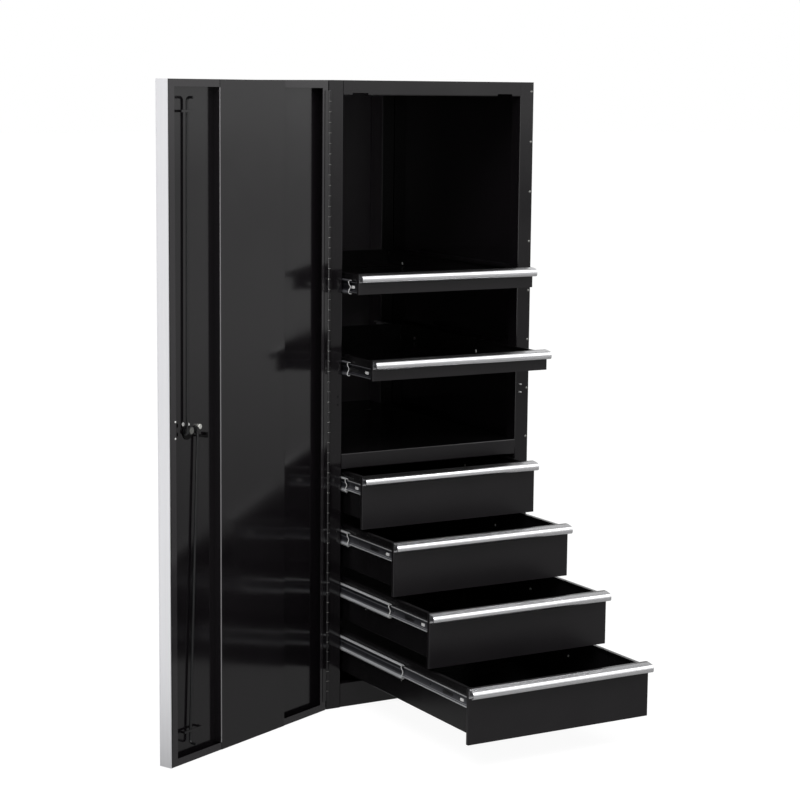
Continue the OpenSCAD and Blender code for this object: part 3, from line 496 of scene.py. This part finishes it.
def grow(name, points, tree, body, sizes):
    """Runs a tree on points, with some of its sizes in millimetres, and settles the mesh on a body."""
    seed_mesh = bpy.data.meshes.new(name + "_points")
    seed_mesh.from_pydata([tuple(point) for point in points], [], [])
    seed = bpy.data.objects.new(name + "_points", seed_mesh)
    bpy.context.scene.collection.objects.link(seed)
    grown = seed.modifiers.new("grow", "NODES")
    grown.node_group = tree
    for socket in tree.interface.items_tree:
        if socket.in_out == "INPUT" and socket.name in sizes:
            grown[socket.identifier] = sizes[socket.name] * MM
    evaluated = seed.evaluated_get(bpy.context.evaluated_depsgraph_get())
    mesh = bpy.data.meshes.new_from_object(evaluated)
    mesh.name = name
    bpy.data.objects.remove(seed)
    settle(name, mesh, body)


rivet_zinc = zinc_plate("white_zinc_rivet", "Z", "#dededc", "#f4f4f2", roughness=0.45, metallic=0.2)
wall_rivets = rivet_tree("wall_rivet", rivet_zinc, (0.0, radians(90), 0.0))
behind_front = (319, 640)  # millimetres from the front panel's face
sunk = 1.0 * MM  # from the wall's outer face to the rivet's middle
for bay in bays:
    # Up from the front panel's lower edge, and the head's radius, in millimetres.
    up, head_radius = (70, 3.4) if bay.startswith("drawer") else (12, 4.2)
    wall_low, wall_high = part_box(bay + "_box")
    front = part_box(bay + "_front")[0]
    grow(bay + "_rivets", [(x, front[1] + y * MM, front[2] + up * MM)
                           for x in (wall_low[0] + sunk, wall_high[0] - sunk) for y in behind_front],
         wall_rivets, bay, {"Head Radius": head_radius, "Head Height": 0.9})

# Knuckle ends
# The hinge's rolled knuckles, 25 mm long, are cropped after painting, so a ring of bare steel
# glints where each one meets the next.
knuckle = 25 * MM
ring_count = round((pin_high[2] - pin_low[2]) / knuckle) - 1
bare_zinc = zinc_plate("zinc_plated_turned_part", "Z", "#c4c4c0", "#e6e6e0", roughness=0.3, metallic=0.8)
ring_tree, given = points_tree("knuckle_ring", {"Ring Radius": 4.3, "Wire Radius": 0.2})
circle = add(ring_tree, "GeometryNodeCurvePrimitiveCircle", {"Resolution": 20,
                                                             "Radius": given["Ring Radius"]})
wire = add(ring_tree, "GeometryNodeCurvePrimitiveCircle", {"Resolution": 6,
                                                           "Radius": given["Wire Radius"]})
hoop = add(ring_tree, "GeometryNodeCurveToMesh", {"Curve": circle.outputs[0],
                                                  "Profile Curve": wire.outputs[0]})
set_on_points(ring_tree, given, hoop.outputs[0], bare_zinc)
grow("knuckle_ends", [(hinge_line.x, hinge_line.y, pin_low[2] + (i + 1) * knuckle)
                      for i in range(ring_count)], ring_tree, "cabinet", {})

# Lock and catch fasteners
# Two bright rivets, flush so that the cam passes over them, and a hexagon nut on the door's skin round
# the lock, with its back plate and a spring bar on a foot, of steel oxidised to a dead black. Two
# small screws hold the plastic catch to the door's rim.
skin, lock_top = 17.4, 9.0  # millimetres from the rim's edge down to the skin, and to the lock's parts
plate, bar, proud = 2.2, 3.0, 0.1  # the back plate's and the spring bar's thickness, and the rivets' rise
lock_along, lock_up = 494, mid_height("lock_plug") / MM
rivets_from_plug = [(22.5, 16.5), (4.6, 13.6)]
catch_along, catch_up, screws_apart = 562.5, mid_height("door_catch") / MM, 38


def on_door(along, depth, up):
    """A place on the open door in millimetres: along it from the pin, into its hollow, and up."""
    return hinge_line + door_turn @ Vector((along * MM, -depth * MM, up * MM))


def closed_mesh(name, shape, material, rounding=0.0):
    """Turns a closed shape's faces outwards, rounds its edges, and makes it a mesh with its material."""
    bmesh.ops.recalc_face_normals(shape, faces=shape.faces)
    if rounding:
        bmesh.ops.bevel(shape, geom=shape.edges[:], offset=rounding, segments=2, affect="EDGES",
                        profile=0.5)
    mesh = bpy.data.meshes.new(name)
    shape.to_mesh(mesh)
    shape.free()
    mesh.materials.append(material)
    return mesh


def lock_piece(name, outline, depth_from, depth_to, material, rounding):
    """A flat piece on the door: an outline around the lock's plug, between two depths."""
    shape = bmesh.new()
    near, far = [[shape.verts.new(on_door(lock_along + along, depth, lock_up + up))
                  for along, up in outline] for depth in (depth_from, depth_to)]
    shape.faces.new(near)
    shape.faces.new(far[::-1])
    for i in range(len(outline)):
        j = (i + 1) % len(outline)
        shape.faces.new([near[j], near[i], far[i], far[j]])
    settle(name, closed_mesh(name, shape, material, rounding * MM), "door")


def round_outline(along, up, radius, corners):
    """The corners of a regular outline around a middle."""
    turns = [2 * pi * i / corners for i in range(corners)]
    return [(along + radius * cos(turn), up + radius * sin(turn)) for turn in turns]


door_rivets = rivet_tree("door_rivet", rivet_zinc, (radians(90), 0.0, radians(-door_open)))
grow("lock_rivets", [on_door(lock_along + along, skin - proud, lock_up + up)
                     for along, up in rivets_from_plug],
     door_rivets, "door", {"Head Radius": 4.4, "Head Height": 0.35})
grow("catch_screws", [on_door(catch_along, 0, catch_up + way * screws_apart / 2) for way in (1, -1)],
     door_rivets, "door", {"Head Radius": 2.4, "Head Height": 0.9})
lock_piece("lock_nut", round_outline(along=-27, up=6, radius=6.5, corners=6), lock_top, skin,
           bare_zinc, rounding=0.6)
dead_black = powder_coat("black_oxide_steel", "#060506", roughness=0.5, specular=0.1)
lock_piece("lock_back_plate", round_outline(along=9, up=-4, radius=16, corners=24), skin - plate, skin,
           dead_black, rounding=0.2)
lock_piece("lock_spring_bar", [(-22, -13), (-52, -16), (-52, -20), (-22, -17)], lock_top, lock_top + bar,
           dead_black, rounding=0.4)
lock_piece("lock_bar_foot", [(-48, -10), (-54, -10), (-54, -22), (-48, -22)], lock_top, skin,
           dead_black, rounding=0.4)

# Slide latches, tabs, and painted highlights behind the sheared ends
# A black nylon lever with a moulded, dull surface on each drawer member, pressed to lift a drawer out
# of its slides, and a zinc-white tab bent out of the strip near its front end. Just behind the front end
# of each intermediate member, a white zinc strip along its rolled section is a painted highlight.
moulded = powder_coat("moulded_black_nylon", "#101011", roughness=0.4)
white_zinc = zinc_plate("white_zinc_stamping", "Z", "#dededc", "#ffffff", roughness=0.4, metallic=0.3)


def side_pair(name, bay, along, across, half_height, taper, material):
    """A small eased block in each drawer member of a bay, in millimetres: along from the front panel's
    face, and across from the member's outer face. Its front end is taper times as high as its rear."""
    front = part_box(bay + "_front")[0][1]
    strip_low, strip_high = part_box(bay + "_slides")
    centre = mid_height(bay + "_slides")
    shape = bmesh.new()
    for outer, inwards in ((strip_low[0], 1), (strip_high[0], -1)):
        for corner in bmesh.ops.create_cube(shape, size=1.0)["verts"]:
            at_front = corner.co.y < 0
            depth = across[0] if corner.co.x < 0 else across[1]
            height = half_height * (taper if at_front else 1.0) * (2 * corner.co.z)
            behind_panel = along[0] if at_front else along[1]
            corner.co = Vector((outer + inwards * depth * MM, front + behind_panel * MM,
                                centre + height * MM))
    settle(name, closed_mesh(name, shape, material, rounding=0.5 * MM), bay)


# An intermediate member's section in millimetres: inwards from its outer face, and up from its middle.
upper_half = [(8.6, 14.6), (7.4, 16), (4.2, 16.8), (1.4, 15.8), (0.2, 13.2), (0.3, 10.6), (1.6, 7.2),
              (3.6, 4)]
section = upper_half + [(4.9, 0)] + [(x, -z) for x, z in reversed(upper_half)]
half_wall = 0.55  # to each side of the section's line
end_from, end_to = 2.4, 4.4  # behind the member's front end


def rolled_end_highlights(bay):
    """A bright strip along the section of both intermediate members of a bay, just behind their front
    ends: a painted highlight.
    """
    low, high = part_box(bay + "_mid_slides")
    centre = mid_height(bay + "_mid_slides")
    shape = bmesh.new()
    for outer, inwards in ((low[0], 1), (high[0], -1)):
        rings = []
        for i, (x, z) in enumerate(section):
            before, after = section[max(i - 1, 0)], section[min(i + 1, len(section) - 1)]
            run = Vector((after[0] - before[0], after[1] - before[1])).normalized() * half_wall
            rings.append([shape.verts.new((outer + inwards * (x + side * run.y) * MM,
                                           low[1] + y * MM, centre + (z - side * run.x) * MM))
                          for side, y in ((-1, end_from), (1, end_from), (1, end_to), (-1, end_to))])
        for near, far in zip(rings, rings[1:]):
            for i in range(4):
                shape.faces.new([near[i], near[(i + 1) % 4], far[(i + 1) % 4], far[i]])
        shape.faces.new(rings[0])
        shape.faces.new(rings[-1][::-1])
    name = bay + "_rolled_end_highlights"
    settle(name, closed_mesh(name, shape, white_zinc), bay + "_runners")


for bay in bays:
    side_pair(bay + "_latches", bay, along=(82, 122), across=(1.2, 4.4), half_height=4.2, taper=0.45,
              material=moulded)
    side_pair(bay + "_tabs", bay, along=(34, 46), across=(1.5, 4.6), half_height=3.2, taper=1.0,
              material=white_zinc)
    # Painted highlight strips just behind the intermediate members' front ends.
    rolled_end_highlights(bay)
